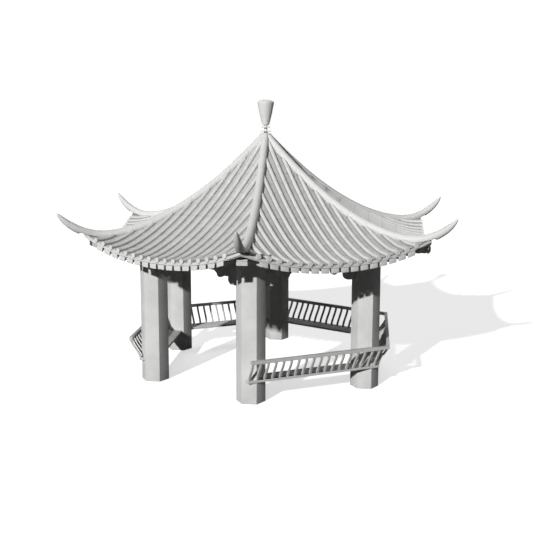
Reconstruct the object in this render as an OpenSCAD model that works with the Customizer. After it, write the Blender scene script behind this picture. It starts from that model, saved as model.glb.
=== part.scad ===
// Six-column garden pavilion: an open hexagonal frame under a concave tiled roof.
// The entrance bay faces -Y.  The origin is at ground level, under the finial.
// Azimuths are measured from -Y towards +X; every piece is drawn facing -Y and then turned.

/* [Plan] */
// Radius of the ring on which the column axes stand, also the spacing of neighbouring columns
ring_r = 2500; // [2300:10:2900]

/* [Columns] */
// Width of a hexagonal column across its flats
column_w = 494; // [360:2:540]
// Height of a column, up to the seat of its hip beam
column_h = 2842; // [2700:2:3000]

/* [Lintels] */
// Height of the lintel's underside above the ground
lintel_z = 2488; // [2300:2:2560]
// Depth of a lintel
lintel_h = 200; // [140:5:240]
// Thickness of a lintel
lintel_t = 150; // [100:5:220]
// Thickness of the infill board that stands on a lintel
infill_t = 60; // [30:5:100]
// Diameter of the purlin log that the infill board carries
purlin_d = 180; // [120:5:220]

/* [Brackets] */
// Thickness of a carved bracket plate
bracket_t = 70; // [40:5:120]
// Radius of the large lobe beside the column
bracket_lobe = 112; // [80:2:130]
// Radius of the small lobe towards the bay
bracket_bud = 75; // [50:1:90]

/* [Benches] */
// Height of the seat's upper face
seat_z = 482; // [420:2:520]
// Thickness of the seat plank
seat_t = 50; // [30:2:70]
// Reach of the seat outside the column line
seat_out = 295; // [292:1:340]
// Reach of the seat inside the column line
seat_in = 100; // [40:5:160]
// Height of the back's upper edge above the ground
back_z = 916; // [860:2:980]
// Reach of the back's top rail outside the column line
back_out = 495; // [440:5:540]
// Height of the top rail
rail_h = 66; // [40:2:90]
// Depth of the top rail
rail_d = 64; // [40:2:90]
// Width of a slat along the bench
slat_w = 36; // [24:1:50]
// Depth of a slat, measured level
slat_d = 42; // [34:1:70]
// Spacing of the slats
slat_pitch = 160; // [130:5:200]
// Length by which a bench runs past the column axis beside the entrance
free_end = 187; // [120:1:220]

/* [Roof] */
// Distance from the centre to the eave, square to the eave
eave_r = 3384; // [3250:2:3600]
// Height of the tile bed at the middle of an eave
eave_z = 2772; // [2700:2:2850]
// Rise of the tile bed from the eave to the point where the slopes would meet
roof_rise = 2230; // [1900:10:2400]
// Power of the roof's hollow curve
roof_power = 1.6; // [1.3:0.05:2.2]
// Power with which an eave sweeps up towards its corners
sweep_power = 2.2; // [1.8:0.1:3]
// Depth of the roof's boards and bedding, measured upright
roof_t = 75; // [50:5:110]
// Height of the eave board
eave_board_h = 45; // [30:1:70]
// Thickness of the eave board
eave_board_t = 22; // [15:1:35]

/* [Hip ridges] */
// Radius of the hip ridge tube
ridge_r = 80; // [60:1:95]
// Height of the ridge tube's axis over the tile bed
ridge_lift = 40; // [30:1:60]
// Distance from the centre at which the horn begins to curl up
horn_start = 3470; // [3300:10:3600]
// Height of the ridge axis where the horn begins
horn_z = 3088; // [2990:2:3180]
// Radius of the horn's upward bend
horn_bend = 1270; // [1100:10:1400]
// Distance from the centre to the horn's tip
horn_tip = 4437; // [4300:10:4560]
// Rise of the ridge axis from the horn's start to the centre
ridge_rise = 1942; // [1700:10:2000]
// Power of the ridge's hollow curve
ridge_power = 1.75; // [1.5:0.05:2]

/* [Hip beams] */
// Width of a hip beam
beam_w = 200; // [140:5:230]
// Distance from the centre to a hip beam's outer end
beam_end = 3710; // [3600:10:3860]
// Depth of the inner, rising part of a hip beam
beam_h = 210; // [150:5:260]
// Height of the groove between the two tiers, over the beam's underside
tier_h = 72; // [50:2:90]
// Depth and height of that groove
groove = 10; // [6:1:14]

/* [King post] */
// Distance across the flats of the king post's block
king_w = 380; // [370:2:420]
// Height of the block's underside
king_z = 3950; // [3800:10:4050]
// Height of the block's upper face
king_top = 4590; // [4500:10:4620]

/* [Finial] */
// Height of the finial's seat above the ground
finial_z = 5041; // [5000:1:5080]
// Overall height of the finial
finial_h = 702; // [600:1:780]
// Greatest diameter of the vase
vase_d = 349; // [280:1:400]
// Diameter of the vase at its foot
vase_foot_d = 145; // [110:1:180]
// Height of the vase
vase_h = 520; // [440:2:560]
// Diameter of the finial's stem
stem_d = 70; // [50:1:90]
// Diameter of the lower disc
disc_d = 225; // [160:1:260]
// Diameter of the upper disc
small_disc_d = 188; // [130:1:210]

/* [Hidden] */

// Clearance left between pieces that seat on or beside each other
fit = 0.3;
// Smallest thickness by which cutting shapes run past what they cut
over = 10;

sides = 6;
half_turn = 180 / sides;
bay_r = ring_r * cos(half_turn);
column_r = column_w / 2 / cos(half_turn);
span = ring_r - column_w - 2 * fit;

stone = "#d8d8d4";
timber = "#c6c6c0";
tile = "#cfcfcb";

// ---------------------------------------------------------------- roof curves

// Height of the ridge axis at distance r from the centre, along a hip
function ridge_z(r) = r < horn_start
    ? horn_z + ridge_rise * pow(1 - r / horn_start, ridge_power)
    : horn_z + horn_bend - sqrt(horn_bend * horn_bend - pow(r - horn_start, 2));

// Slope of the ridge axis at distance r
function ridge_slope(r) = (ridge_z(r + 1) - ridge_z(r - 1)) / 2;

// Height of the tile bed on the middle line of a slope, at distance a from the centre
function middle_z(a) = eave_z + roof_rise * pow(1 - min(a, eave_r) / eave_r, roof_power);

// Height of the tile bed on the hip that passes at distance a, square to the eave
function hip_z(a) = ridge_z(a / cos(half_turn)) - ridge_lift;

// Height of the tile bed at distance a from the centre and s along the eave
function bed_z(a, s) = middle_z(a)
    + (hip_z(a) - middle_z(a)) * pow(min(1, abs(s) / (a * tan(half_turn))), sweep_power);

// Height of the tile bed beside a hip: r along the hip, x square to it
function beside_hip_z(r, x) = bed_z(
    r * cos(half_turn) + abs(x) * sin(half_turn),
    r * sin(half_turn) - abs(x) * cos(half_turn));

// ---------------------------------------------------------------- helpers

module turned(azimuth) {
    rotate([0, 0, azimuth]) children();
}

// Plan of one column, seen from the middle of a bay at the given side (-1 or 1)
module column_plan(side, gap = 0) {
    translate([side * ring_r / 2, -bay_r])
        rotate(half_turn)
            circle(r = (column_w / 2 + gap) / cos(half_turn), $fn = sides);
}

// Stacks rings of points, each with the same even number of points, into one closed solid.
// Each end is closed by strips that join a point to the one that lies as far from the last point.
module stacked(rings) {
    count = len(rings[0]);
    points = [for (ring = rings) each ring];
    last = (len(rings) - 1) * count;
    walls = [
        for (i = [0 : len(rings) - 2], j = [0 : count - 1])
            let (k = (j + 1) % count, a = i * count, b = a + count)
            each [[a + j, b + j, b + k], [a + j, b + k, a + k]]
    ];
    strips = [for (j = [0 : count / 2 - 2]) [j, j + 1, count - 2 - j, count - 1 - j]];
    caps = concat(
        strips,
        [for (strip = strips) [for (m = [3 : -1 : 0]) last + strip[m]]]
    );
    polyhedron(points = points, faces = concat(walls, caps), convexity = 6);
}

// ---------------------------------------------------------------- columns and lintels

module column(azimuth) {
    color(stone)
        turned(azimuth)
            translate([0, -ring_r, 0])
                cylinder(r = column_r, h = column_h, $fn = sides);
}

module lintel(azimuth) {
    color(timber)
        turned(azimuth)
            translate([-span / 2, -bay_r - lintel_t / 2, lintel_z])
                cube([span, lintel_t, lintel_h]);
}

// Plan of the space between two neighbouring hip beams
module between_beams() {
    near = bay_r - purlin_d;
    far = bay_r + purlin_d;
    back = beam_w / 2 / cos(half_turn) + fit;
    polygon([
        for (corner = [[-1, near], [1, near], [1, far], [-1, far]])
            [corner[0] * (corner[1] * tan(half_turn) - back), -corner[1]]
    ]);
}

purlin_slope = (middle_z(bay_r + 1) - middle_z(bay_r - 1)) / 2;
purlin_z = middle_z(bay_r) - roof_t - purlin_d / 2 * sqrt(1 + purlin_slope * purlin_slope) - fit;
infill_z = lintel_z + lintel_h + fit;

module purlin(azimuth) {
    turned(azimuth) {
        intersection() {
            translate([-ring_r / 2, -bay_r, purlin_z])
                rotate([0, 90, 0])
                    cylinder(d = purlin_d, h = ring_r, $fn = 48);
            translate([0, 0, purlin_z - purlin_d])
                linear_extrude(2 * purlin_d)
                    between_beams();
        }
        translate([-span / 2, -bay_r - infill_t / 2, infill_z])
            cube([span, infill_t, purlin_z - infill_z]);
    }
}

module purlins() {
    color(timber)
        for (i = [0 : sides - 1])
            purlin(i * 2 * half_turn);
}

// ---------------------------------------------------------------- brackets

bud_x = 483;
bud_drop = 68;
neck_drop = 105;
lobe_x = 165;
lobe_drop = 150;
tail_x = 818;
tail_t = 8;

// Outline of one bracket: x from the column face into the bay, y down from the lintel
module bracket_outline() {
    square_drop = lobe_drop + bracket_lobe;
    translate([0, -square_drop])
        square([lobe_x, square_drop]);
    translate([lobe_x, -lobe_drop])
        circle(r = bracket_lobe, $fn = 48);
    translate([0, -neck_drop])
        square([bud_x, neck_drop]);
    translate([bud_x, -bud_drop])
        circle(r = bracket_bud, $fn = 48);
    polygon([
        [bud_x, -bud_drop], [bud_x + bracket_bud, -bud_drop], [tail_x - 195, -2 * tail_t],
        [tail_x, -tail_t], [tail_x, 0], [bud_x, 0]
    ]);
}

module bracket(azimuth, side) {
    turned(azimuth)
        translate([side * span / 2, -bay_r + bracket_t / 2, lintel_z - fit])
            rotate([90, 0, 0])
                linear_extrude(bracket_t)
                    mirror([side > 0 ? 1 : 0, 0])
                        intersection() {
                            bracket_outline();
                            translate([0, -ring_r])
                                square([ring_r, ring_r]);
                        }
}

module brackets() {
    color(timber)
        for (i = [0 : sides - 1], side = [-1, 1])
            bracket(i * 2 * half_turn, side);
}

// ---------------------------------------------------------------- benches

// Distance along a bench from its middle to its end, at offset o outside the column line.
// A free end is cut square; any other end is mitred on the line through the column.
function bench_end(free, o) = free
    ? ring_r / 2 + free_end
    : ring_r / 2 + o * tan(half_turn) - fit;

// Plan of a bench strip between two offsets; free is -1 or 1 for the side that ends
// beside the entrance, or 0
module bench_strip(o_in, o_out, free) {
    left = free == -1;
    right = free == 1;
    polygon([
        [-bench_end(left, o_in), -bay_r - o_in],
        [bench_end(right, o_in), -bay_r - o_in],
        [bench_end(right, o_out), -bay_r - o_out],
        [-bench_end(left, o_out), -bay_r - o_out]
    ]);
}

module seat(azimuth, free) {
    color(timber)
        turned(azimuth)
            translate([0, 0, seat_z - seat_t])
                linear_extrude(seat_t)
                    difference() {
                        bench_strip(-seat_in, seat_out, free);
                        column_plan(-1, fit);
                        column_plan(1, fit);
                    }
}

slat_foot_z = seat_z + fit;
slat_head_z = back_z - rail_h;
slat_steps = 10;
// Share of the lean that is taken up in the middle of a slat's height
slat_swing = 0.55;

// Offset of a slat's outer face at the share u of its height
function slat_out(u) = seat_out + (back_out - seat_out)
    * ((1 - slat_swing) * u + slat_swing * (3 * u * u - 2 * u * u * u));

module slat_outline() {
    rise = slat_head_z - slat_foot_z + 1;
    outer = [for (i = [0 : slat_steps]) let (u = i / slat_steps) [slat_out(u), u * rise]];
    inner = [for (i = [slat_steps : -1 : 0]) let (u = i / slat_steps) [slat_out(u) - slat_d, u * rise]];
    polygon(concat(outer, inner));
}

// Centres of the slats of one bench
function slat_places(free) = free == 0
    ? let (n = floor((ring_r / 2 + seat_out * tan(half_turn) - 2 * slat_w) / slat_pitch))
      [for (i = [-n : n]) i * slat_pitch]
    : let (first = ring_r / 2 + free_end - slat_w,
           n = floor((first + ring_r / 2 + seat_out * tan(half_turn) - 2 * slat_w) / slat_pitch))
      [for (i = [0 : n]) free * (first - i * slat_pitch)];

module bench_back(azimuth, free) {
    color(timber)
        turned(azimuth) {
            translate([0, 0, slat_head_z])
                linear_extrude(rail_h)
                    bench_strip(back_out - rail_d, back_out, free);
            difference() {
                for (s = slat_places(free))
                    translate([s - slat_w / 2, -bay_r, slat_foot_z])
                        rotate([90, 0, 90])
                            linear_extrude(slat_w)
                                mirror([1, 0])
                                    slat_outline();
                for (side = [-1, 1])
                    linear_extrude(back_z)
                        column_plan(side, fit);
            }
        }
}

// ---------------------------------------------------------------- hip beams

beam_seat_z = column_h + fit;
beam_in_r = king_w / 2 + fit;
beam_step_r = ring_r - column_r - 60;
beam_steps = 12;

// Height of a hip beam's upper face at distance r from the centre
function beam_top(r) = beside_hip_z(r, beam_w / 2) - roof_t - fit;

module beam(azimuth) {
    stations = [for (i = [0 : beam_steps]) beam_in_r + (beam_end - beam_in_r) * i / beam_steps];
    inner = [for (r = stations) if (r < beam_step_r) r];
    top = [for (r = stations) [r, beam_top(r)]];
    bottom = [for (i = [len(inner) - 1 : -1 : 0]) [inner[i], beam_top(inner[i]) - beam_h]];
    heel = [
        [beam_end, beam_seat_z], [beam_step_r, beam_seat_z],
        [beam_step_r, beam_top(beam_step_r) - beam_h]
    ];
    color(timber)
        turned(azimuth)
            difference() {
                translate([-beam_w / 2, 0, 0])
                    rotate([90, 0, 90])
                        linear_extrude(beam_w)
                            mirror([1, 0])
                                polygon(concat(top, heel, bottom));
                for (side = [-1, 1])
                    translate([side * beam_w / 2 - groove, -beam_end - over, beam_seat_z + tier_h])
                        cube([2 * groove, beam_end - beam_step_r + 2 * over, groove]);
                translate([-beam_w, -beam_end - groove, beam_seat_z + tier_h])
                    cube([2 * beam_w, 2 * groove, groove]);
            }
}

// ---------------------------------------------------------------- roof slopes

slope_in_r = king_w / 2 * 0.62;
slope_out_r = eave_r - eave_board_t - fit;
slope_rows = 18;
slope_cols = 14;

module slope(azimuth) {
    rings = [
        for (i = [0 : slope_rows])
            let (a = slope_in_r + (slope_out_r - slope_in_r) * i / slope_rows,
                 half = a * tan(half_turn) - fit)
            concat(
                [for (j = [0 : slope_cols])
                    let (s = half * (2 * j / slope_cols - 1)) [s, -a, bed_z(a, s)]],
                [for (j = [slope_cols : -1 : 0])
                    let (s = half * (2 * j / slope_cols - 1)) [s, -a, bed_z(a, s) - roof_t]]
            )
    ];
    color(tile)
        turned(azimuth)
            stacked(rings);
}

// ---------------------------------------------------------------- eave boards

board_top_drop = 14;
board_steps = 16;

module eave_board(azimuth) {
    half = eave_r * tan(half_turn) - fit;
    top = [
        for (i = [0 : board_steps])
            let (s = half * (2 * i / board_steps - 1))
            [s, bed_z(eave_r, s) - board_top_drop]
    ];
    bottom = [for (i = [board_steps : -1 : 0]) top[i] - [0, eave_board_h]];
    turned(azimuth)
        intersection() {
            translate([0, -eave_r + eave_board_t, 0])
                rotate([90, 0, 0])
                    linear_extrude(eave_board_t)
                        polygon(concat(top, bottom));
            linear_extrude(2 * eave_z)
                polygon([[0, 0], [-half, -eave_r], [half, -eave_r]]);
        }
}

module eave_boards() {
    color(timber)
        for (i = [0 : sides - 1])
            eave_board(i * 2 * half_turn);
}

// ---------------------------------------------------------------- hip ridges

ridge_sides = 12;
ridge_bed = 4;
ridge_in_r = 100;
taper_start = horn_start + 0.55 * (horn_tip - horn_start);
ridge_rows = 17;
horn_rows = 13;

// Radius of the tube at distance r: full to the taper's start, then an elliptic nose
function tube_r(r) = r < taper_start
    ? ridge_r
    : ridge_r * sqrt(max(0.0004, 1 - pow((r - taper_start) / (horn_tip - taper_start), 2)));

// One upright ring of the ridge; over the roof its underside lies on the tile bed
function ridge_ring(r) =
    let (tube = tube_r(r), tall = tube * sqrt(1 + pow(ridge_slope(r), 2)),
         side = r * tan(half_turn) - fit, on_roof = r < eave_r / cos(half_turn) + ridge_r)
    [for (i = [0 : ridge_sides - 1])
        let (t = 360 * i / ridge_sides,
             x = max(-side, min(side, tube * sin(t))),
             z = ridge_z(r) + tall * cos(t),
             bed = on_roof ? beside_hip_z(r, x) + ridge_bed : z)
        [x, -r, max(z, bed)]];

module ridge(azimuth) {
    stations = concat(
        [for (i = [0 : ridge_rows - 1]) ridge_in_r + (horn_start - ridge_in_r) * i / ridge_rows],
        [for (i = [0 : horn_rows]) horn_start + (horn_tip - horn_start) * sin(90 * i / horn_rows)]
    );
    color(tile)
        turned(azimuth)
            stacked([for (r = stations) ridge_ring(r)]);
}

// ---------------------------------------------------------------- king post and finial

crown_r = (ridge_in_r - fit) / cos(half_turn);
knob_d = king_w * 0.6;

module king_post() {
    color(timber) {
        rotate([0, 0, half_turn]) {
            translate([0, 0, king_z])
                cylinder(d = king_w / cos(half_turn), h = king_top - king_z, $fn = sides);
            translate([0, 0, king_top])
                cylinder(r = crown_r, h = finial_z - fit - king_top, $fn = sides);
        }
        translate([0, 0, king_z - knob_d / 3])
            cylinder(d1 = knob_d / 2, d2 = knob_d, h = knob_d / 3, $fn = 48);
    }
}

disc_t = 12;
disc_z = 42;
small_disc_z = 124;
rim_drop = 68;

module finial() {
    vase_z = finial_h - vase_h;
    foot_h = 20;
    color(stone)
        translate([0, 0, finial_z])
            rotate_extrude($fn = 64)
                polygon([
                    [0, 0], [stem_d * 0.9, 0], [stem_d / 2, foot_h],
                    [stem_d / 2, disc_z], [disc_d / 2, disc_z],
                    [disc_d / 2, disc_z + disc_t], [stem_d / 2, disc_z + disc_t],
                    [stem_d / 2, small_disc_z], [small_disc_d / 2, small_disc_z],
                    [small_disc_d / 2, small_disc_z + disc_t], [stem_d / 2, small_disc_z + disc_t],
                    [stem_d / 2, vase_z - foot_h], [vase_foot_d / 2, vase_z],
                    [vase_d / 2, finial_h - rim_drop],
                    for (t = [15 : 15 : 90])
                        [vase_d / 2 * cos(t), finial_h - rim_drop + rim_drop * sin(t)]
                ]);
}

// ---------------------------------------------------------------- the pavilion

column(30);  // column_front_right
column(90);  // column_right
column(150);  // column_back_right
column(210);  // column_back_left
column(270);  // column_left
column(330);  // column_front_left
lintel(0);  // lintel_front
lintel(60);  // lintel_front_right
lintel(120);  // lintel_back_right
lintel(180);  // lintel_back
lintel(240);  // lintel_back_left
lintel(300);  // lintel_front_left
purlins();
brackets();
seat(60, -1);  // seat_front_right
seat(120, 0);  // seat_back_right
seat(180, 0);  // seat_back
seat(240, 0);  // seat_back_left
seat(300, 1);  // seat_front_left
bench_back(60, -1);  // back_front_right
bench_back(120, 0);  // back_back_right
bench_back(180, 0);  // back_back
bench_back(240, 0);  // back_back_left
bench_back(300, 1);  // back_front_left
beam(30);  // beam_front_right
beam(90);  // beam_right
beam(150);  // beam_back_right
beam(210);  // beam_back_left
beam(270);  // beam_left
beam(330);  // beam_front_left
slope(0);  // slope_front
slope(60);  // slope_front_right
slope(120);  // slope_back_right
slope(180);  // slope_back
slope(240);  // slope_back_left
slope(300);  // slope_front_left
ridge(30);  // ridge_front_right
ridge(90);  // ridge_right
ridge(150);  // ridge_back_right
ridge(210);  // ridge_back_left
ridge(270);  // ridge_left
ridge(330);  // ridge_front_left
eave_boards();
king_post();
finial();
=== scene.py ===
"""Dresses the hexagonal garden pavilion: stone columns, limewashed timber and pale clay tiles.

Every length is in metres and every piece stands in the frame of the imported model: +Z up, the
entrance towards -Y, the origin on the ground under the finial.
"""

import logging
import math
from dataclasses import dataclass, field
from enum import Enum

import bmesh
import bpy
from mathutils import Matrix, Vector


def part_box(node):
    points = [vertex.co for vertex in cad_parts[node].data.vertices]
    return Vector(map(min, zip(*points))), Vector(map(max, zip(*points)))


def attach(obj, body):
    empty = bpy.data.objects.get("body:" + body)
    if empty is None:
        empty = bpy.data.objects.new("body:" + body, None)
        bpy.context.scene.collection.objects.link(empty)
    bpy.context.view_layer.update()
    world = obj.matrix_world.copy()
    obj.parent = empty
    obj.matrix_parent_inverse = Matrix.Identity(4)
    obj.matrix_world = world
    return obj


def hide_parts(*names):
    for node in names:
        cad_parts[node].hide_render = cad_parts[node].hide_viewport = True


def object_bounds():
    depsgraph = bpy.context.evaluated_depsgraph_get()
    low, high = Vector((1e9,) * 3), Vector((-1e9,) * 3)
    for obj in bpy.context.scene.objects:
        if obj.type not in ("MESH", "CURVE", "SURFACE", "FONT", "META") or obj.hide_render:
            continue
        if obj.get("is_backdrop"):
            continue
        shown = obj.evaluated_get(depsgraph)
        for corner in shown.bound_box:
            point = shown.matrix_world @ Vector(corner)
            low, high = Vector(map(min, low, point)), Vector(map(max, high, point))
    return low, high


LOG = logging.getLogger("pavilion")

Colour = tuple[float, float, float]
Point = tuple[float, float, float]
Face = tuple[int, ...]

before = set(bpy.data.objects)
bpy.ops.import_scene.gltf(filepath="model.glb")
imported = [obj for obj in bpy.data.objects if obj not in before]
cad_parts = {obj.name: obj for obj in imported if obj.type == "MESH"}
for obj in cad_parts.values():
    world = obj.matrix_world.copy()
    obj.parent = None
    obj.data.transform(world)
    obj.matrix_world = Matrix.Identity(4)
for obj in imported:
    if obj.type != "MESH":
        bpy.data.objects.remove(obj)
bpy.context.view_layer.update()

BODY = "root"
SIDES = 6
HALF = math.pi / SIDES
TAN_HALF = math.tan(HALF)
COS_HALF = math.cos(HALF)


class Bay(Enum):
    """The six sides of the pavilion, with the azimuth of each from -Y towards +X."""

    FRONT = 0
    FRONT_RIGHT = 60
    BACK_RIGHT = 120
    BACK = 180
    BACK_LEFT = 240
    FRONT_LEFT = 300

    @property
    def label(self) -> str:
        """The name that this side's CAD nodes end in."""
        return self.name.lower()

    @property
    def azimuth(self) -> float:
        """Azimuth in radians."""
        return math.radians(self.value)


class Corner(Enum):
    """The six columns, with the azimuth of each from -Y towards +X."""

    FRONT_RIGHT = 30
    RIGHT = 90
    BACK_RIGHT = 150
    BACK_LEFT = 210
    LEFT = 270
    FRONT_LEFT = 330

    @property
    def label(self) -> str:
        """The name that this corner's CAD nodes end in."""
        return self.name.lower()

    @property
    def azimuth(self) -> float:
        """Azimuth in radians."""
        return math.radians(self.value)


class Grain(Enum):
    """The direction in which a timber or a stone runs, in the piece's own turned frame."""

    ALONG = (0, 1, 2)
    OUTWARD = (1, 0, 2)
    UPRIGHT = (2, 0, 1)


# ------------------------------------------------------------------------------ shader groups


class Tree:
    """A short way to add and link nodes in one node tree."""

    def __init__(self, tree: bpy.types.NodeTree) -> None:
        """Wraps a tree.

        Args:
            tree: the node tree that the nodes are added to.
        """
        self.tree = tree

    def add(self, kind: str, **settings: object) -> bpy.types.Node:
        """Adds a node and sets its properties and unlinked inputs.

        Args:
            kind: the node's type, without the leading "ShaderNode" where it has one.
            settings: properties by name, or inputs by name with "_" for a space.

        Returns:
            The new node.
        """
        node = self.tree.nodes.new(kind if kind.startswith("Node") else "ShaderNode" + kind)
        for key, value in settings.items():
            if hasattr(node, key):
                setattr(node, key, value)
            else:
                node.inputs[key.replace("_", " ")].default_value = value
        return node

    def link(self, source: bpy.types.NodeSocket, target: bpy.types.NodeSocket) -> None:
        """Links an output socket to an input socket."""
        self.tree.links.new(source, target)

    def math(self, operation: str, first: object, second: object = 0.0) -> bpy.types.NodeSocket:
        """Adds a Math node.

        Args:
            operation: the Math node's operation.
            first: a socket or a number.
            second: a socket or a number.

        Returns:
            The node's value socket.
        """
        node = self.add("Math", operation=operation)
        for socket, value in zip(node.inputs, (first, second)):
            if isinstance(value, bpy.types.NodeSocket):
                self.link(value, socket)
            else:
                socket.default_value = value
        return node.outputs[0]

    def remap(self, value: bpy.types.NodeSocket, low: float, high: float,
              to_low: float = 0.0, to_high: float = 1.0) -> bpy.types.NodeSocket:
        """Maps a value from one range to another, clamped.

        Args:
            value: the socket to map.
            low: start of the source range.
            high: end of the source range.
            to_low: start of the target range.
            to_high: end of the target range.

        Returns:
            The mapped value's socket.
        """
        node = self.add("MapRange")
        for index, number in enumerate((low, high, to_low, to_high), start=1):
            node.inputs[index].default_value = number
        self.link(value, node.inputs[0])
        return node.outputs[0]

    def blend(self, factor: bpy.types.NodeSocket, first: object, second: object,
              mode: str = "MIX") -> bpy.types.NodeSocket:
        """Mixes two colours.

        Args:
            factor: the socket of the mix factor.
            first: a socket or a colour, shown at factor 0.
            second: a socket or a colour, shown at factor 1.
            mode: the blend mode.

        Returns:
            The mixed colour's socket.
        """
        node = self.add("Mix", data_type="RGBA", blend_type=mode)
        self.link(factor, node.inputs[0])
        for socket, value in ((node.inputs[6], first), (node.inputs[7], second)):
            if isinstance(value, bpy.types.NodeSocket):
                self.link(value, socket)
            else:
                socket.default_value = (*value, 1.0)
        return node.outputs[2]


class Group:
    """A shader node group that is built once and placed in many materials."""

    title = ""
    inputs: tuple[tuple[str, str, object], ...] = ()
    outputs: tuple[tuple[str, str], ...] = ()

    def tree(self) -> bpy.types.NodeTree:
        """Finds the group, or builds it the first time.

        Returns:
            The group's node tree.
        """
        found = bpy.data.node_groups.get(self.title)
        if found:
            return found
        made = bpy.data.node_groups.new(self.title, "ShaderNodeTree")
        for name, kind, value in self.inputs:
            socket = made.interface.new_socket(name, in_out="INPUT", socket_type=kind)
            if value is not None:
                socket.default_value = value
        for name, kind in self.outputs:
            made.interface.new_socket(name, in_out="OUTPUT", socket_type=kind)
        inside = Tree(made)
        source = inside.add("NodeGroupInput")
        sink = inside.add("NodeGroupOutput")
        self.fill(inside, source.outputs, sink.inputs)
        return made

    def fill(self, inside: Tree, given: bpy.types.NodeOutputs, result: bpy.types.NodeInputs) -> None:
        """Adds the group's own nodes.

        Args:
            inside: the group's tree.
            given: the sockets of the group's inputs.
            result: the sockets of the group's outputs.
        """
        raise NotImplementedError

    def place(self, tree: Tree, **values: object) -> bpy.types.Node:
        """Places the group in a material.

        Args:
            tree: the material's tree.
            values: input values or sockets by name, with "_" for a space.

        Returns:
            The group node.
        """
        node = tree.add("Group")
        node.node_tree = self.tree()
        for key, value in values.items():
            socket = node.inputs[key.replace("_", " ")]
            if isinstance(value, bpy.types.NodeSocket):
                tree.link(value, socket)
            elif isinstance(value, tuple) and len(value) == 3 and socket.type == "RGBA":
                socket.default_value = (*value, 1.0)
            else:
                socket.default_value = value
        return node


class Mottle(Group):
    """Cloudy colour variation with a fine speckle over it."""

    title = "Cloudy mottling"
    inputs = (
        ("Vector", "NodeSocketVector", None),
        ("Scale", "NodeSocketFloat", 3.0),
        ("Speckle", "NodeSocketFloat", 0.3),
        ("Light", "NodeSocketColor", (0.7, 0.7, 0.7, 1.0)),
        ("Dark", "NodeSocketColor", (0.5, 0.5, 0.5, 1.0)),
    )
    outputs = (("Color", "NodeSocketColor"), ("Mask", "NodeSocketFloat"))

    def fill(self, inside: Tree, given: bpy.types.NodeOutputs, result: bpy.types.NodeInputs) -> None:
        """Adds two noises, mixes them and colours the result."""
        cloud = inside.add("TexNoise", Detail=5.0, Roughness=0.6)
        fine = inside.add("TexNoise", Detail=2.0, Roughness=0.7)
        for noise in (cloud, fine):
            inside.link(given["Vector"], noise.inputs["Vector"])
        inside.link(given["Scale"], cloud.inputs["Scale"])
        inside.link(inside.math("MULTIPLY", given["Scale"], 40.0), fine.inputs["Scale"])
        base = inside.remap(cloud.outputs[0], 0.3, 0.7)
        grit = inside.math("MULTIPLY", inside.math("SUBTRACT", fine.outputs[0], 0.5), given["Speckle"])
        mask = inside.add("Math", operation="ADD", use_clamp=True)
        inside.link(base, mask.inputs[0])
        inside.link(grit, mask.inputs[1])
        colour = inside.blend(mask.outputs[0], given["Dark"], given["Light"])
        inside.link(colour, result["Color"])
        inside.link(mask.outputs[0], result["Mask"])


class EdgeWear(Group):
    """A mask that is strong on a piece's worn arrises."""

    title = "Worn arrises"
    inputs = (("Radius", "NodeSocketFloat", 0.01), ("Break-up", "NodeSocketFloat", 9.0))
    outputs = (("Mask", "NodeSocketFloat"),)

    def fill(self, inside: Tree, given: bpy.types.NodeOutputs, result: bpy.types.NodeInputs) -> None:
        """Compares the rounded normal with the true one and breaks the line up with noise."""
        rounded = inside.add("Bevel", samples=4)
        inside.link(given["Radius"], rounded.inputs["Radius"])
        true = inside.add("NewGeometry")
        match = inside.add("VectorMath", operation="DOT_PRODUCT")
        inside.link(rounded.outputs[0], match.inputs[0])
        inside.link(true.outputs["Normal"], match.inputs[1])
        edge = inside.remap(match.outputs["Value"], 0.99, 0.75)
        noise = inside.add("TexNoise", Detail=3.0)
        inside.link(true.outputs["Position"], noise.inputs["Vector"])
        inside.link(given["Break-up"], noise.inputs["Scale"])
        worn = inside.math("MULTIPLY", edge, inside.remap(noise.outputs[0], 0.4, 0.65))
        inside.link(worn, result["Mask"])


class LongGrain(Group):
    """Timber grain that runs along the first axis of its vector."""

    title = "Long grain"
    inputs = (("Vector", "NodeSocketVector", None), ("Scale", "NodeSocketFloat", 4.0))
    outputs = (("Mask", "NodeSocketFloat"), ("Height", "NodeSocketFloat"))

    def fill(self, inside: Tree, given: bpy.types.NodeOutputs, result: bpy.types.NodeInputs) -> None:
        """Stretches two noises along the grain: broad bands and fine fibres."""
        long = inside.add("VectorMath", operation="MULTIPLY")
        long.inputs[1].default_value = (0.35, 9.0, 9.0)
        inside.link(given["Vector"], long.inputs[0])
        bands = inside.add("TexNoise", Detail=4.0, Roughness=0.55, Distortion=0.6)
        fibres = inside.add("TexNoise", Detail=6.0, Roughness=0.75)
        for noise in (bands, fibres):
            inside.link(long.outputs[0], noise.inputs["Vector"])
        inside.link(given["Scale"], bands.inputs["Scale"])
        inside.link(inside.math("MULTIPLY", given["Scale"], 5.0), fibres.inputs["Scale"])
        mask = inside.math("MULTIPLY", inside.remap(bands.outputs[0], 0.35, 0.68),
                           inside.remap(fibres.outputs[0], 0.25, 0.6, 0.55, 1.0))
        inside.link(mask, result["Mask"])
        height = inside.math("ADD", inside.math("MULTIPLY", bands.outputs[0], 0.4), fibres.outputs[0])
        inside.link(height, result["Height"])


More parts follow.
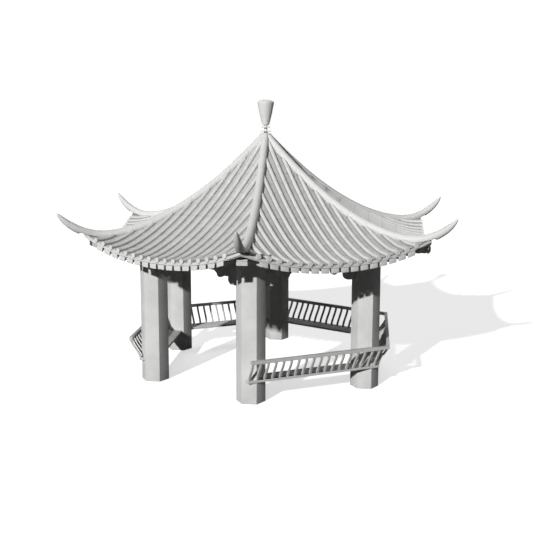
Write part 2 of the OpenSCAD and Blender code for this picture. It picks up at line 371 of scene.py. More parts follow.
class Dust(Group):
    """A mask of dust and lime that has settled on upward faces."""

    title = "Settled dust"
    inputs = (("Scale", "NodeSocketFloat", 5.0),)
    outputs = (("Mask", "NodeSocketFloat"),)

    def fill(self, inside: Tree, given: bpy.types.NodeOutputs, result: bpy.types.NodeInputs) -> None:
        """Takes the upward part of the normal and patches it with noise."""
        surface = inside.add("NewGeometry")
        parts = inside.add("SeparateXYZ")
        inside.link(surface.outputs["Normal"], parts.inputs[0])
        noise = inside.add("TexNoise", Detail=5.0)
        inside.link(surface.outputs["Position"], noise.inputs["Vector"])
        inside.link(given["Scale"], noise.inputs["Scale"])
        patch = inside.remap(noise.outputs[0], 0.35, 0.7)
        inside.link(inside.math("MULTIPLY", inside.remap(parts.outputs[2], 0.3, 0.95), patch),
                    result["Mask"])


class Courses(Group):
    """Lapped tiles in a row: a dark line at each joint and a tone for each tile.

    The vector holds the distance down the row, the number of the row and the place across the tile.
    """

    title = "Tile courses"
    inputs = (("Vector", "NodeSocketVector", None), ("Length", "NodeSocketFloat", 0.3))
    outputs = (("Joint", "NodeSocketFloat"), ("Tone", "NodeSocketFloat"))

    def fill(self, inside: Tree, given: bpy.types.NodeOutputs, result: bpy.types.NodeInputs) -> None:
        """Cuts the distance into tiles and gives each tile a random number."""
        parts = inside.add("SeparateXYZ")
        inside.link(given["Vector"], parts.inputs[0])
        place = inside.math("DIVIDE", parts.outputs[0], given["Length"])
        joint = inside.remap(inside.math("FRACT", place), 0.03, 0.0)
        pair = inside.add("CombineXYZ")
        inside.link(inside.math("FLOOR", place), pair.inputs[0])
        inside.link(inside.math("ROUND", parts.outputs[1]), pair.inputs[1])
        chance = inside.add("TexWhiteNoise", noise_dimensions="3D")
        inside.link(pair.outputs[0], chance.inputs["Vector"])
        inside.link(joint, result["Joint"])
        inside.link(chance.outputs["Value"], result["Tone"])


# ------------------------------------------------------------------------------ finishes


@dataclass(frozen=True)
class Finish:
    """What every finish has: a name, its two tones, its roughness and the depth of its relief."""

    name: str
    light: Colour
    dark: Colour
    rough: float = 0.8
    relief: float = 0.3
    relief_depth: float = 0.004

    def start(self) -> tuple[bpy.types.Material, Tree, bpy.types.Node, bpy.types.NodeSocket]:
        """Makes the material with its shader.

        Returns:
            The material, its tree, its Principled node and the socket of the piece's own vector.
        """
        material = bpy.data.materials.new(self.name)
        material.use_nodes = True
        tree = Tree(material.node_tree)
        shader = material.node_tree.nodes["Principled BSDF"]
        shader.inputs["Specular IOR Level"].default_value = 0.25
        vector = tree.add("Attribute", attribute_name="grain").outputs["Vector"]
        return material, tree, shader, vector

    def end(self, tree: Tree, shader: bpy.types.Node, colour: bpy.types.NodeSocket,
            rough: bpy.types.NodeSocket, height: bpy.types.NodeSocket) -> None:
        """Feeds colour, roughness and relief to the shader.

        Args:
            tree: the material's tree.
            shader: its Principled node.
            colour: the socket of the base colour.
            rough: a mask from 0 to 1 that varies the roughness.
            height: the socket of the relief's height.
        """
        tree.link(colour, shader.inputs["Base Color"])
        tree.link(tree.remap(rough, 0.0, 1.0, self.rough - 0.08, self.rough + 0.12),
                  shader.inputs["Roughness"])
        bump = tree.add("Bump", Strength=self.relief, Distance=self.relief_depth)
        tree.link(height, bump.inputs["Height"])
        tree.link(bump.outputs[0], shader.inputs["Normal"])

    def build(self) -> bpy.types.Material:
        """Makes the material."""
        raise NotImplementedError


@dataclass(frozen=True)
class DressedStone(Finish):
    """Pale stone with tooling marks, a fine speckle and darker feet."""

    splash_height: float = 0.35

    def build(self) -> bpy.types.Material:
        """Makes the material.

        Returns:
            The stone material.
        """
        material, tree, shader, vector = self.start()
        cloud = Mottle().place(tree, Vector=vector, Scale=2.2, Speckle=0.9, Light=self.light,
                               Dark=self.dark)
        wear = EdgeWear().place(tree, Radius=0.012)
        pale = tree.blend(tree.math("MULTIPLY", wear.outputs[0], 0.5), cloud.outputs["Color"],
                          tuple(min(1.0, c * 1.12) for c in self.light))
        place = tree.add("NewGeometry")
        parts = tree.add("SeparateXYZ")
        tree.link(place.outputs["Position"], parts.inputs[0])
        damp = tree.math("MULTIPLY", tree.remap(parts.outputs[2], self.splash_height, 0.0),
                         tree.remap(cloud.outputs["Mask"], 0.2, 0.9, 0.35, 0.1))
        colour = tree.blend(damp, pale, tuple(c * 0.7 for c in self.dark))
        tooling = tree.add("TexNoise", Scale=60.0, Detail=3.0)
        stretch = tree.add("VectorMath", operation="MULTIPLY")
        stretch.inputs[1].default_value = (3.0, 1.0, 1.0)
        tree.link(vector, stretch.inputs[0])
        tree.link(stretch.outputs[0], tooling.inputs["Vector"])
        self.end(tree, shader, colour, cloud.outputs["Mask"], tooling.outputs[0])
        return material


@dataclass(frozen=True)
class LimedTimber(Finish):
    """Pale limewashed timber with grain along the piece and rubbed arrises."""

    grain_scale: float = 4.0
    contrast: float = 0.55

    def build(self) -> bpy.types.Material:
        """Makes the material.

        Returns:
            The timber material.
        """
        material, tree, shader, vector = self.start()
        grain = LongGrain().place(tree, Vector=vector, Scale=self.grain_scale)
        cloud = Mottle().place(tree, Vector=vector, Scale=1.6, Speckle=0.15, Light=self.light,
                               Dark=tuple(0.5 * (a + b) for a, b in zip(self.light, self.dark)))
        lined = tree.blend(tree.math("MULTIPLY", grain.outputs["Mask"], self.contrast),
                           cloud.outputs["Color"], self.dark)
        wear = EdgeWear().place(tree, Radius=0.008)
        worn = tree.blend(tree.math("MULTIPLY", wear.outputs[0], 0.6), lined,
                          tuple(min(1.0, c * 1.15) for c in self.light))
        dust = Dust().place(tree, Scale=6.0)
        colour = tree.blend(tree.math("MULTIPLY", dust.outputs[0], 0.35), worn, self.light)
        self.end(tree, shader, colour, grain.outputs["Mask"], grain.outputs["Height"])
        return material


@dataclass(frozen=True)
class ClayTile(Finish):
    """Pale unglazed clay in lapped tiles, each of its own tone, with dark joints and painted shade
    towards the creases where tube and pan tiles meet.
    """

    tile_length: float = 0.3
    joint: float = 0.5
    variety: float = 0.35
    # The next three settings darken the tiles towards the creases where tube and pan tiles meet: painted
    # shade, with its strength and the span across the tile that it covers.
    crease_shade: float = 0.0
    crease_shade_from: float = 0.3
    crease_shade_to: float = 0.55

    def build(self) -> bpy.types.Material:
        """Makes the material.

        Returns:
            The clay tile material.
        """
        material, tree, shader, vector = self.start()
        course = Courses().place(tree, Vector=vector, Length=self.tile_length)
        place = tree.add("NewGeometry")
        cloud = Mottle().place(tree, Vector=place.outputs["Position"], Scale=2.6, Speckle=0.6,
                               Light=self.light,
                               Dark=tuple(0.6 * a + 0.4 * b for a, b in zip(self.light, self.dark)))
        toned = tree.blend(tree.math("MULTIPLY", course.outputs["Tone"], self.variety),
                           cloud.outputs["Color"], self.dark)
        dust = Dust().place(tree, Scale=3.0)
        dusty = tree.blend(tree.math("MULTIPLY", dust.outputs[0], 0.3), toned,
                           tuple(c * 0.86 for c in self.light))
        # Painted shade: darker towards the creases where tube and pan tiles meet, that is the tube
        # tiles' lower sides and the pan tiles' edges, broken up by the mottling.
        across = tree.add("SeparateXYZ")
        tree.link(vector, across.inputs[0])
        crease_shade_mask = tree.math("MULTIPLY", tree.remap(across.outputs[2], self.crease_shade_from, self.crease_shade_to),
                           tree.remap(cloud.outputs["Mask"], 0.0, 1.0, self.crease_shade, 0.7 * self.crease_shade))
        crease_shaded = tree.blend(crease_shade_mask, dusty, tuple(c * 0.35 for c in self.dark))
        colour = tree.blend(tree.math("MULTIPLY", course.outputs["Joint"], self.joint), crease_shaded,
                            tuple(c * 0.45 for c in self.dark))
        pits = tree.add("TexNoise", Scale=90.0, Detail=4.0)
        tree.link(place.outputs["Position"], pits.inputs["Vector"])
        sunk = tree.math("MULTIPLY", course.outputs["Joint"], 2.0)
        height = tree.math("SUBTRACT", pits.outputs[0], sunk)
        self.end(tree, shader, colour, cloud.outputs["Mask"], height)
        return material


STONE = DressedStone("dressed_stone", light=(0.72, 0.72, 0.71), dark=(0.60, 0.60, 0.59), relief=0.25)
TIMBER = LimedTimber("limed_timber", light=(0.64, 0.64, 0.63), dark=(0.44, 0.44, 0.43))
BENCH = LimedTimber("bench_timber", light=(0.66, 0.66, 0.65), dark=(0.46, 0.46, 0.45), grain_scale=7.0)
BOARDS = LimedTimber("roof_boards", light=(0.58, 0.58, 0.57), dark=(0.38, 0.38, 0.37), grain_scale=5.0)
EAVE = LimedTimber("eave_paint", light=(0.72, 0.72, 0.71), dark=(0.56, 0.56, 0.55), contrast=0.35)
# Tube and pan tiles both take painted shade towards the creases where they meet.
TUBE = ClayTile("tube_tile_clay", light=(0.74, 0.74, 0.73), dark=(0.58, 0.58, 0.57), crease_shade=0.75,
                crease_shade_from=0.28, crease_shade_to=0.5)
# The pan clay is set darker than the tube clay, as painted shade: the pans lie in the tube tiles' shade.
PAN = ClayTile("pan_tile_clay", light=(0.60, 0.60, 0.59), dark=(0.44, 0.44, 0.435), tile_length=0.2,
               crease_shade=0.8)
RIDGE = ClayTile("ridge_clay", light=(0.76, 0.76, 0.75), dark=(0.64, 0.64, 0.63), tile_length=0.42,
                 joint=0.3, variety=0.2)
GLAZE = ClayTile("finial_clay", light=(0.74, 0.74, 0.73), dark=(0.62, 0.62, 0.61), tile_length=5.0,
                 joint=0.0, variety=0.1, rough=0.6)


# ------------------------------------------------------------------------------ mesh making


def turned(point: Point, azimuth: float) -> Point:
    """Turns a point that is drawn facing -Y to its azimuth.

    Args:
        point: the point in the piece's own frame.
        azimuth: angle from -Y towards +X, in radians.

    Returns:
        The point in the pavilion's frame.
    """
    x, y, z = point
    c, s = math.cos(azimuth), math.sin(azimuth)
    return (c * x - s * y, s * x + c * y, z)


@dataclass
class Shape:
    """Vertices, faces and the grain vector of each vertex, in a piece's own turned frame."""

    points: list[Point] = field(default_factory=list)
    faces: list[Face] = field(default_factory=list)
    grain: list[Point] = field(default_factory=list)

    def skin(self, rings: list[list[Point]], grain: list[list[Point]], closed: bool = True,
             caps: bool = True) -> None:
        """Joins rings of points into a tube or an open sheet.

        Args:
            rings: lists of the same number of points.
            grain: the grain vector of each point.
            closed: whether each ring closes on itself.
            caps: whether the first and last rings are filled.
        """
        base, count = len(self.points), len(rings[0])
        for ring, vectors in zip(rings, grain):
            self.points.extend(ring)
            self.grain.extend(vectors)
        for i in range(len(rings) - 1):
            for j in range(count if closed else count - 1):
                a, b = base + i * count, base + (i + 1) * count
                k = (j + 1) % count
                self.faces.append((a + j, b + j, b + k, a + k))
        if caps:
            last = base + (len(rings) - 1) * count
            self.faces.append(tuple(base + j for j in range(count)))
            self.faces.append(tuple(last + j for j in reversed(range(count))))

    def block(self, corners: list[Point], grain: Grain) -> None:
        """Adds a solid between two four-cornered ends.

        Args:
            corners: four corners of one end, then the four matching corners of the other.
            grain: the direction of its grain.
        """
        vectors = [tuple(p[i] for i in grain.value) for p in corners]
        self.skin([corners[:4], corners[4:]], [vectors[:4], vectors[4:]])

    def piece(self, name: str, azimuth: float, material: bpy.types.Material,
              soften: float = 0.0, smooth: float = 35.0) -> bpy.types.Object:
        """Makes the Blender object.

        Args:
            name: the piece's name.
            azimuth: the azimuth that it is turned to, in radians.
            material: its material.
            soften: width of the bevel on its arrises, or 0.
            smooth: faces that meet at less than this many degrees are shaded smooth.

        Returns:
            The new object, linked to the scene.
        """
        mesh = bpy.data.meshes.new(name)
        mesh.from_pydata([turned(p, azimuth) for p in self.points], [], self.faces)
        store = mesh.attributes.new("grain", "FLOAT_VECTOR", "POINT")
        store.data.foreach_set("vector", [c for vector in self.grain for c in vector])
        tidy(mesh, soften)
        mesh.materials.append(material)
        mesh.shade_smooth()
        mesh.set_sharp_from_angle(angle=math.radians(smooth))
        made = bpy.data.objects.new(name, mesh)
        bpy.context.scene.collection.objects.link(made)
        return made


def tidy(mesh: bpy.types.Mesh, soften: float, dissolve: bool = False) -> None:
    """Merges doubled points, turns faces outwards and bevels sharp arrises.

    Args:
        mesh: the mesh to work on.
        soften: width of the bevel, or 0 for none.
        dissolve: whether flat triangles are first merged into whole faces.
    """
    shape = bmesh.new()
    shape.from_mesh(mesh)
    bmesh.ops.remove_doubles(shape, verts=shape.verts, dist=0.00005)
    if dissolve:
        bmesh.ops.dissolve_limit(shape, angle_limit=math.radians(0.6), verts=shape.verts,
                                 edges=shape.edges)
    bmesh.ops.recalc_face_normals(shape, faces=shape.faces)
    if soften:
        sharp = [e for e in shape.edges
                 if len(e.link_faces) == 2 and e.calc_face_angle(0.0) > math.radians(35)]
        bmesh.ops.bevel(shape, geom=sharp, offset=soften, segments=2, profile=0.6,
                        affect="EDGES", clamp_overlap=True)
    shape.to_mesh(mesh)
    shape.free()


def keep(piece: bpy.types.Object, slot: str, *nodes: str) -> bpy.types.Object:
    """Ties a piece to the frame and reports it.

    Args:
        piece: the piece.
        slot: the name of a material slot, which is only reported in the log.
        nodes: the CAD nodes that it stands for.

    Returns:
        The piece.
    """
    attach(piece, BODY)
    if nodes:
        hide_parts(*nodes)
    LOG.info("%s: %d faces, slot %s, stands for %s", piece.name, len(piece.data.polygons), slot,
             ", ".join(nodes) or "nothing")
    return piece


def dressed(node: str, azimuth: float, grain: Grain, material: bpy.types.Material, slot: str,
            soften: float) -> bpy.types.Object:
    """Makes a copy of a CAD node with softened arrises and a grain, which stands for it.

    Args:
        node: the CAD node's name.
        azimuth: the azimuth of the node's own frame, in radians.
        grain: the direction of its grain.
        material: its material.
        slot: its material slot.
        soften: width of the bevel on its arrises.

    Returns:
        The new piece.
    """
    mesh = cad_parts[node].data.copy()
    mesh.name = node + "_dressed"
    mesh.materials.clear()
    if soften:
        tidy(mesh, soften, dissolve=True)
    store = mesh.attributes.new("grain", "FLOAT_VECTOR", "POINT")
    for vertex, item in zip(mesh.vertices, store.data):
        own = turned(tuple(vertex.co), -azimuth)
        item.vector = tuple(own[i] for i in grain.value)
    mesh.materials.append(material)
    mesh.shade_smooth()
    mesh.set_sharp_from_angle(angle=math.radians(25))
    made = bpy.data.objects.new(node + "_dressed", mesh)
    bpy.context.scene.collection.objects.link(made)
    return keep(made, slot, node)


# ------------------------------------------------------------------------------ roof curves


@dataclass(frozen=True)
class RoofCurves:
    """The hollow curves of the roof, as the CAD model draws them."""

    eave_r: float = 3.384
    eave_z: float = 2.772
    rise: float = 2.230
    power: float = 1.6
    sweep: float = 2.2
    ridge_lift: float = 0.040
    horn_start: float = 3.470
    horn_z: float = 3.088
    horn_bend: float = 1.270
    horn_tip: float = 4.437
    ridge_rise: float = 1.942
    ridge_power: float = 1.75
    slab: float = 0.075

    def ridge_z(self, r: float) -> float:
        """Height of a ridge's axis at distance r along its hip."""
        if r < self.horn_start:
            return self.horn_z + self.ridge_rise * (1 - r / self.horn_start) ** self.ridge_power
        return self.horn_z + self.horn_bend - math.sqrt(self.horn_bend ** 2 - (r - self.horn_start) ** 2)

    def ridge_slope(self, r: float) -> float:
        """Slope of a ridge's axis at distance r."""
        return (self.ridge_z(r + 0.001) - self.ridge_z(r - 0.001)) / 0.002

    def middle_z(self, a: float) -> float:
        """Height of the bed on the middle line of a slope."""
        return self.eave_z + self.rise * (1 - min(a, self.eave_r) / self.eave_r) ** self.power

    def bed_z(self, a: float, s: float) -> float:
        """Height of the bed.

        Args:
            a: distance from the centre, square to the eave.
            s: distance along the eave from its middle.

        Returns:
            The height of the tile bed there.
        """
        middle = self.middle_z(a)
        hip = self.ridge_z(a / COS_HALF) - self.ridge_lift
        return middle + (hip - middle) * min(1.0, abs(s) / (a * TAN_HALF)) ** self.sweep

    def beside_hip_z(self, r: float, x: float) -> float:
        """Height of the bed beside a hip, r along the hip and x square to it."""
        return self.bed_z(r * COS_HALF + abs(x) * math.sin(HALF), r * math.sin(HALF) - abs(x) * COS_HALF)


ROOF = RoofCurves()


# ------------------------------------------------------------------------------ sub-assemblies


@dataclass
class Columns:
    """Six hexagonal stone columns."""

    arris: float = 0.006

    def build(self) -> None:
        """Dresses the columns."""
        stone = STONE.build()
        for corner in Corner:
            dressed("column_" + corner.label, corner.azimuth, Grain.UPRIGHT, stone, "stone", self.arris)


@dataclass
class Frame:
    """Lintels, purlins, brackets, hip beams and king post."""

    arris: float = 0.005

    def build(self) -> None:
        """Dresses the timbers."""
        timber = TIMBER.build()
        for bay in Bay:
            dressed("lintel_" + bay.label, bay.azimuth, Grain.ALONG, timber, "timber", self.arris)
        for corner in Corner:
            dressed("beam_" + corner.label, corner.azimuth, Grain.OUTWARD, timber, "timber", self.arris)
        dressed("purlins", 0.0, Grain.UPRIGHT, timber, "timber", 0.0)
        dressed("brackets", 0.0, Grain.UPRIGHT, timber, "carving", 0.004)
        dressed("king_post", 0.0, Grain.UPRIGHT, timber, "timber", self.arris)


@dataclass
class Benches:
    """Five seats and their leaning slatted backs."""

    seat_arris: float = 0.006
    back_arris: float = 0.004

    def build(self) -> None:
        """Dresses the seats and backs."""
        timber = BENCH.build()
        for bay in Bay:
            if bay is Bay.FRONT:
                continue
            dressed("seat_" + bay.label, bay.azimuth, Grain.ALONG, timber, "bench", self.seat_arris)
            dressed("back_" + bay.label, bay.azimuth, Grain.ALONG, timber, "bench", self.back_arris)


@dataclass
class TiledRoof:
    """Pan tiles, tube tiles, tile ends, drip tiles and rafters of the six slopes."""

    pitch: float = 0.2015
    rows: int = 8
    tube_r: float = 0.044
    tube_lift: float = 0.017
    tube_length: float = 0.3
    tube_lap: float = 0.002
    tube_sides: int = 12
    course: float = 0.2
    pan_lap: float = 0.005
    pan_hollow: float = 0.012
    pan_bed: float = 0.006
    end_r: float = 0.047
    end_t: float = 0.022
    drip_w: float = 0.153
    drip_h: float = 0.088
    drip_t: float = 0.016
    rafter_w: float = 0.06
    rafter_h: float = 0.07
    rafter_back: float = 0.05
    rafter_steps: int = 14
    inner: float = 0.14
    hip_clear: float = 0.13
    beam_clear: float = 0.12
    shortest: float = 0.05
    end_sides: int = 24
    drip_gap: float = 0.006
    pan_marks: int = 4

    def stations(self, start: float, step: float) -> list[tuple[float, float]]:
        """Places of lapped tile ends from the eave up to a start.

        Args:
            start: distance from the centre where the row begins.
            step: length of a tile, measured level.

        Returns:
            Pairs of a distance and a share of the lap, from the start down to the eave.
        """
        found = [(ROOF.eave_r, 1.0)]
        place = ROOF.eave_r - step
        while place > start + 0.02:
            found.extend([(place, 0.0), (place - 0.0008, 1.0)])
            place -= step
        found.append((start, 0.0 if start > place else 0.5))
        return list(reversed(found))

    def pans(self, bay: Bay, clay: bpy.types.Material) -> None:
        """Lays the pan tiles of one slope as one sheet with lapped courses.

        Args:
            bay: the slope.
            clay: the material.
        """
        shape = Shape()
        levels = self.stations(self.inner, self.course)
        half_eave = ROOF.eave_r * TAN_HALF
        marks = [(k + j / self.pan_marks) * self.pitch
                 for k in range(-self.rows - 1, self.rows + 1) for j in range(self.pan_marks)]
        marks = [m for m in marks if abs(m) < half_eave - 0.02]
        marks = [-half_eave + 0.004, *marks, half_eave - 0.004]
        rings, grain = [], []
        for s in marks:
            start = max(self.inner, abs(s) / TAN_HALF + 0.001)
            column = math.floor(s / self.pitch)
            cell = (s / self.pitch) % 1.0
            hollow = self.pan_hollow * (2 * cell - 1) ** 2
            ring, vectors = [], []
            for a, lap in levels:
                place = max(a, min(start, ROOF.eave_r))
                z = ROOF.bed_z(place, s) + self.pan_bed + self.pan_lap * lap + hollow
                ring.append((s, -place, z))
                vectors.append((ROOF.eave_r - place, float(column), abs(2 * cell - 1)))
            rings.append(ring)
            grain.append(vectors)
        shape.skin(rings, grain, closed=False, caps=False)
        keep(shape.piece("pan_tiles_" + bay.label, bay.azimuth, clay, smooth=40), "roof_tile")

    def tubes(self, bay: Bay, clay: bpy.types.Material) -> None:
        """Lays the tube tiles of one slope, each row lapped like its tiles.

        Args:
            bay: the slope.
            clay: the material.
        """
        shape = Shape()
        for k in range(-self.rows, self.rows + 1):
            s = k * self.pitch
            start = abs(s) / TAN_HALF + self.hip_clear
            if start > ROOF.eave_r - self.shortest:
                continue
            rings, grain = [], []
            for a, lap in self.refined(self.stations(start, self.tube_length)):
                slope = (ROOF.bed_z(a + 0.002, s) - ROOF.bed_z(a - 0.002, s)) / 0.004
                radius = self.tube_r + self.tube_lap * (lap - 0.5)
                tall = radius * math.sqrt(1 + slope * slope)
                axis = ROOF.bed_z(a, s) + self.tube_lift
                ring, vectors = [], []
                for i in range(self.tube_sides):
                    t = 2 * math.pi * i / self.tube_sides
                    ring.append((s + radius * math.sin(t), -a, axis + tall * math.cos(t)))
                    vectors.append((ROOF.eave_r - a, float(k), (1 - math.cos(t)) / 2))
                rings.append(ring)
                grain.append(vectors)
            shape.skin(rings, grain)
        keep(shape.piece("tube_tiles_" + bay.label, bay.azimuth, clay, smooth=40), "roof_tile")

    @staticmethod
    def refined(stations: list[tuple[float, float]]) -> list[tuple[float, float]]:
        """Puts two further stations inside each tile so that the row bends smoothly.

        Args:
            stations: pairs of a distance and a share of the lap.

        Returns:
            The pairs with the new ones between them.
        """
        result = [stations[0]]
        for before, after in zip(stations, stations[1:]):
            if after[0] - before[0] > 0.05:
                for share in (1 / 3, 2 / 3):
                    result.append(tuple(p + (q - p) * share for p, q in zip(before, after)))
            result.append(after)
        return result

    def ends(self, bay: Bay, clay: bpy.types.Material) -> None:
        """Closes the tube tiles at the eave with round, rimmed ends.

        Args:
            bay: the slope.
            clay: the material.
        """
        shape = Shape()
        profile = [(-0.03, 0.9), (-0.002, 1.0), (self.end_t - 0.003, 1.0), (self.end_t, 0.95),
                   (self.end_t, 0.8), (self.end_t - 0.005, 0.74), (self.end_t - 0.003, 0.45),
                   (self.end_t + 0.001, 0.2)]
        for k in range(-self.rows, self.rows + 1):
            s = k * self.pitch
            axis = ROOF.bed_z(ROOF.eave_r, s) + self.tube_lift
            rings, grain = [], []
            for depth, share in profile:
                ring = []
                for i in range(self.end_sides):
                    t = 2 * math.pi * i / self.end_sides
                    ring.append((s + self.end_r * share * math.sin(t), -ROOF.eave_r - depth,
                                 axis + self.end_r * share * math.cos(t)))
                rings.append(ring)
                grain.append([(self.tube_length / 2, float(k), 0.0)] * self.end_sides)
            shape.skin(rings, grain)
        keep(shape.piece("tile_ends_" + bay.label, bay.azimuth, clay, smooth=30), "roof_tile")

    def drips(self, bay: Bay, clay: bpy.types.Material) -> None:
        """Hangs a drip tile under the eave board between each pair of tube tiles.

        Args:
            bay: the slope.
            clay: the material.
        """
        shape = Shape()
        low, _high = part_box("eave_boards")
        drop = ROOF.bed_z(ROOF.eave_r, 0.0) - low.z
        for k in range(-self.rows, self.rows):
            centre = (k + 0.5) * self.pitch
            corners = []
            for y in (-ROOF.eave_r + 0.004, -ROOF.eave_r - self.drip_t):
                for dx, dz in ((-1, 0.0), (1, 0.0), (1, -self.drip_h), (-1, -self.drip_h)):
                    s = centre + dx * self.drip_w / 2
                    corners.append((s, y, ROOF.bed_z(ROOF.eave_r, s) - drop - self.drip_gap + dz))
            shape.block(corners, Grain.ALONG)
        for i, (x, _y, _z) in enumerate(shape.grain):
            shape.grain[i] = (0.1, math.floor(x / self.pitch) + 0.0, 0.0)
        keep(shape.piece("drip_tiles_" + bay.label, bay.azimuth, clay, soften=0.003), "roof_tile")

    def rafters(self, bay: Bay, timber: bpy.types.Material) -> None:
        """Lays rafters under the boards of one slope.

        Args:
            bay: the slope.
            timber: the material.
        """
        shape = Shape()
        for k in range(-self.rows, self.rows):
            s = (k + 0.5) * self.pitch
            start = max(0.32, (abs(s) + self.rafter_w / 2 + self.beam_clear) / TAN_HALF)
            end = ROOF.eave_r - self.rafter_back
            if start > end - 0.1:
                continue
            rings, grain = [], []
            for i in range(self.rafter_steps + 1):
                a = start + (end - start) * i / self.rafter_steps
                top = min(ROOF.bed_z(a, s + d * self.rafter_w / 2) for d in (-1, 1)) - ROOF.slab + 0.003
                ring = [(s + dx * self.rafter_w / 2, -a, top - dz)
                        for dx, dz in ((-1, 0), (1, 0), (1, self.rafter_h), (-1, self.rafter_h))]
                rings.append(ring)
                grain.append([(p[1], p[0], p[2]) for p in ring])
            shape.skin(rings, grain)
        keep(shape.piece("rafters_" + bay.label, bay.azimuth, timber, smooth=20), "timber")

    def build(self) -> None:
        """Makes every slope."""
        tube, pan, boards, eave = TUBE.build(), PAN.build(), BOARDS.build(), EAVE.build()
        timber = bpy.data.materials[TIMBER.name]
        for bay in Bay:
            self.pans(bay, pan)
            self.tubes(bay, tube)
            self.ends(bay, tube)
            self.drips(bay, tube)
            self.rafters(bay, timber)
            dressed("slope_" + bay.label, bay.azimuth, Grain.ALONG, boards, "roof_bed", 0.0)
        dressed("eave_boards", 0.0, Grain.ALONG, eave, "eave_board", 0.0)


@dataclass
class HipRidges:
    """Six round ridges that end in upturned horns."""

    radius: float = 0.080
    inner: float = 0.100
    bed: float = 0.004
    sides: int = 28
    steps: int = 60
    horn_steps: int = 34
    taper_share: float = 0.55

    def tube_r(self, r: float) -> float:
        """Radius of the tube at distance r: full up to the taper, then an elliptic nose."""
        start = ROOF.horn_start + self.taper_share * (ROOF.horn_tip - ROOF.horn_start)
        if r < start:
            return self.radius
        share = (r - start) / (ROOF.horn_tip - start)
        return self.radius * math.sqrt(max(0.0004, 1 - share * share))

    def ring(self, r: float) -> list[Point]:
        """One upright ring; over the roof its underside lies on the tile bed.

        Args:
            r: distance along the hip.

        Returns:
            The ring's points.
        """
        tube = self.tube_r(r)
        tall = tube * math.sqrt(1 + ROOF.ridge_slope(r) ** 2)
        side = r * TAN_HALF - 0.0003
        points = []
        for i in range(self.sides):
            t = 2 * math.pi * i / self.sides
            x = max(-side, min(side, tube * math.sin(t)))
            z = ROOF.ridge_z(r) + tall * math.cos(t)
            if r < ROOF.eave_r / COS_HALF + self.radius:
                z = max(z, ROOF.beside_hip_z(r, x) + self.bed)
            points.append((x, -r, z))
        return points

    def build(self) -> None:
        """Makes the ridges."""
        clay = RIDGE.build()
        reach = ROOF.horn_start - self.inner
        places = [self.inner + reach * i / self.steps for i in range(self.steps)]
        horn = ROOF.horn_tip - ROOF.horn_start
        places += [ROOF.horn_start + horn * math.sin(math.pi / 2 * i / self.horn_steps)
                   for i in range(self.horn_steps + 1)]
        for corner in Corner:
            shape = Shape()
            rings = [self.ring(r) for r in places]
            grain = [[(r, float(corner.value), 0.0)] * self.sides for r in places]
            shape.skin(rings, grain)
            piece = shape.piece("hip_ridge_" + corner.label, corner.azimuth, clay, smooth=60)
            keep(piece, "ridge_tile", "ridge_" + corner.label)


@dataclass
class Finial:
    """The turned finial: a foot, two thin discs and a flared vase with a domed top."""

    sides: int = 72
    stem: float = 0.035
    foot: float = 0.0725
    disc: float = 0.1125
    small_disc: float = 0.094
    disc_z: float = 0.042
    small_disc_z: float = 0.124
    vase_h: float = 0.520
    dome_h: float = 0.068
    swell: float = 0.006
    turn_steps: int = 12

    def profile(self) -> list[tuple[float, float]]:
        """Radius and height of each turn, from the seat up.

        Returns:
            Pairs of a radius and a height over the seat.
        """
        low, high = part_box("finial")
        vase, tall = (high.x - low.x) / 2, high.z - low.z
        stem, steps = self.stem, self.turn_steps
        turns = [(0.063, 0.0), (0.060, 0.004), (0.045, 0.014), (stem, 0.024), (stem, 0.040)]
        for radius, height in ((self.disc, self.disc_z), (self.small_disc, self.small_disc_z)):
            turns += [(stem, height), (radius - 0.004, height), (radius, height + 0.004),
                      (radius, height + 0.008), (radius - 0.004, height + 0.012),
                      (stem + 0.004, height + 0.014), (stem, height + 0.022)]
        vase_z, rim = tall - self.vase_h, tall - self.dome_h
        turns += [(stem, vase_z - 0.024), (stem + 0.008, vase_z - 0.012), (self.foot, vase_z)]
        for i in range(1, steps + 1):
            share = i / steps
            bulge = self.swell * math.sin(math.pi * share)
            turns.append((self.foot + (vase - self.foot) * share + bulge,
                          vase_z + (rim - vase_z) * share))
        for i in range(1, steps + 1):
            t = math.pi / 2 * i / steps
            turns.append((max(0.0005, vase * math.cos(t)), rim + self.dome_h * math.sin(t)))
        return turns

    def build(self) -> None:
        """Makes the finial."""
        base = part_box("finial")[0].z
        shape = Shape()
        rings, grain = [], []
        for radius, height in self.profile():
            ring = []
            for i in range(self.sides):
                t = 2 * math.pi * i / self.sides
                ring.append((radius * math.sin(t), -radius * math.cos(t), base + height))
            rings.append(ring)
            grain.append([(height, 0.0, 0.0)] * self.sides)
        shape.skin(rings, grain)
        keep(shape.piece("finial_turned", 0.0, GLAZE.build(), smooth=40), "finial", "finial")


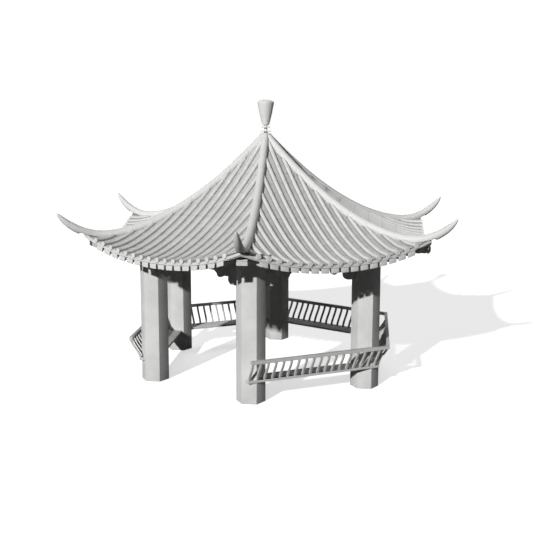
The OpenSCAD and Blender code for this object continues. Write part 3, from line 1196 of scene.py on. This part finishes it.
@dataclass
class Studio:
    """The camera, the lights, the white surround and the pale floor."""

    azimuth: float = 36.43
    distance: float = 19.632
    height: float = 5.580
    pitch: float = -9.772
    yaw: float = 0.060
    roll: float = 0.087
    lens: float = 62.38
    sun_azimuth: float = 8.0
    sun_elevation: float = 24.0
    sun_power: float = 3.4
    sun_angle: float = 1.2
    fill_azimuth: float = 205.0
    fill_elevation: float = 35.0
    fill_power: float = 0.9
    fill_angle: float = 30.0
    ambient: float = 0.05

    def camera(self) -> None:
        """Sets up the camera at the viewing angle of the front-right corner."""
        data = bpy.data.cameras.new("camera")
        data.lens = self.lens
        data.sensor_width = 36.0
        data.clip_end = 200.0
        made = bpy.data.objects.new("camera", data)
        azimuth = math.radians(self.azimuth)
        turn = Matrix.Rotation(azimuth - math.radians(self.yaw), 4, "Z")
        tilt = Matrix.Rotation(math.pi / 2 + math.radians(self.pitch), 4, "X")
        lean = Matrix.Rotation(math.radians(self.roll), 4, "Z")
        across, back = self.distance * math.sin(azimuth), -self.distance * math.cos(azimuth)
        place = Vector((across, back, self.height))
        made.matrix_world = Matrix.Translation(place) @ turn @ tilt @ lean
        bpy.context.scene.collection.objects.link(made)
        bpy.context.scene.camera = made

    @staticmethod
    def sun(name: str, azimuth: float, elevation: float, power: float, angle: float) -> None:
        """Adds one distant light.

        Args:
            name: the light's name.
            azimuth: direction it comes from, in degrees from -Y towards +X.
            elevation: its height over the horizon, in degrees.
            power: its strength.
            angle: its apparent width, in degrees.
        """
        data = bpy.data.lights.new(name, "SUN")
        data.energy = power
        data.angle = math.radians(angle)
        made = bpy.data.objects.new(name, data)
        turn, rise = math.radians(azimuth), math.radians(elevation)
        level = math.cos(rise)
        towards = Vector((math.sin(turn) * level, -math.cos(turn) * level, math.sin(rise)))
        made.rotation_euler = towards.to_track_quat("Z", "Y").to_euler()
        bpy.context.scene.collection.objects.link(made)

    def lights(self) -> None:
        """Sets up the key light and a broad fill from behind."""
        self.sun("key", self.sun_azimuth, self.sun_elevation, self.sun_power, self.sun_angle)
        self.sun("fill", self.fill_azimuth, self.fill_elevation, self.fill_power, self.fill_angle)

    @staticmethod
    def seen(tree: Tree) -> bpy.types.NodeSocket:
        """A mask of the rays that see the surround: from the camera, a mirror or a glass.

        Args:
            tree: the tree that the nodes are added to.

        Returns:
            The mask's socket.
        """
        path = tree.add("LightPath")
        either = tree.math("MAXIMUM", path.outputs["Is Camera Ray"], path.outputs["Is Glossy Ray"])
        return tree.math("MAXIMUM", either, path.outputs["Is Transmission Ray"])

    def world(self) -> None:
        """Makes the surround: white where it is seen, a dim fill light elsewhere."""
        world = bpy.data.worlds.new("surround")
        world.use_nodes = True
        bpy.context.scene.world = world
        tree = Tree(world.node_tree)
        back = world.node_tree.nodes["Background"]
        level = tree.remap(self.seen(tree), 0.0, 1.0, self.ambient, 1.0)
        tree.link(level, back.inputs["Strength"])
        back.inputs["Color"].default_value = (1.0, 1.0, 1.0, 1.0)

    def floor(self) -> None:
        """Makes the pale floor, which keeps the pavilion's shadow."""
        material = bpy.data.materials.new("floor")
        material.use_nodes = True
        tree = Tree(material.node_tree)
        shader = material.node_tree.nodes["Principled BSDF"]
        shader.inputs["Roughness"].default_value = 1.0
        shader.inputs["Specular IOR Level"].default_value = 0.0
        seen = self.seen(tree)
        tree.link(tree.blend(seen, (0.06, 0.06, 0.06), (0.9, 0.9, 0.9)), shader.inputs["Base Color"])
        shader.inputs["Emission Color"].default_value = (1.0, 1.0, 1.0, 1.0)
        tree.link(tree.math("MULTIPLY", seen, 0.62), shader.inputs["Emission Strength"])
        half = 60.0
        mesh = bpy.data.meshes.new("floor")
        mesh.from_pydata([(-half, -half, 0), (half, -half, 0), (half, half, 0), (-half, half, 0)],
                         [], [(0, 1, 2, 3)])
        mesh.materials.append(material)
        made = bpy.data.objects.new("floor", mesh)
        made.location.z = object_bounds()[0][2] - 0.001
        bpy.context.scene.collection.objects.link(made)
        made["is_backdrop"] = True

    def build(self) -> None:
        """Sets up the studio."""
        self.camera()
        self.lights()
        self.world()
        self.floor()
        bpy.context.scene.view_settings.view_transform = "Standard"


def main() -> None:
    """Builds the sub-assemblies in order."""
    logging.basicConfig(level=logging.INFO, format="%(name)s: %(message)s")
    for part in (Studio(), Columns(), Frame(), Benches(), TiledRoof(), HipRidges(), Finial()):
        LOG.info("building %s", type(part).__name__)
        part.build()


if __name__ == "__main__":
    main()
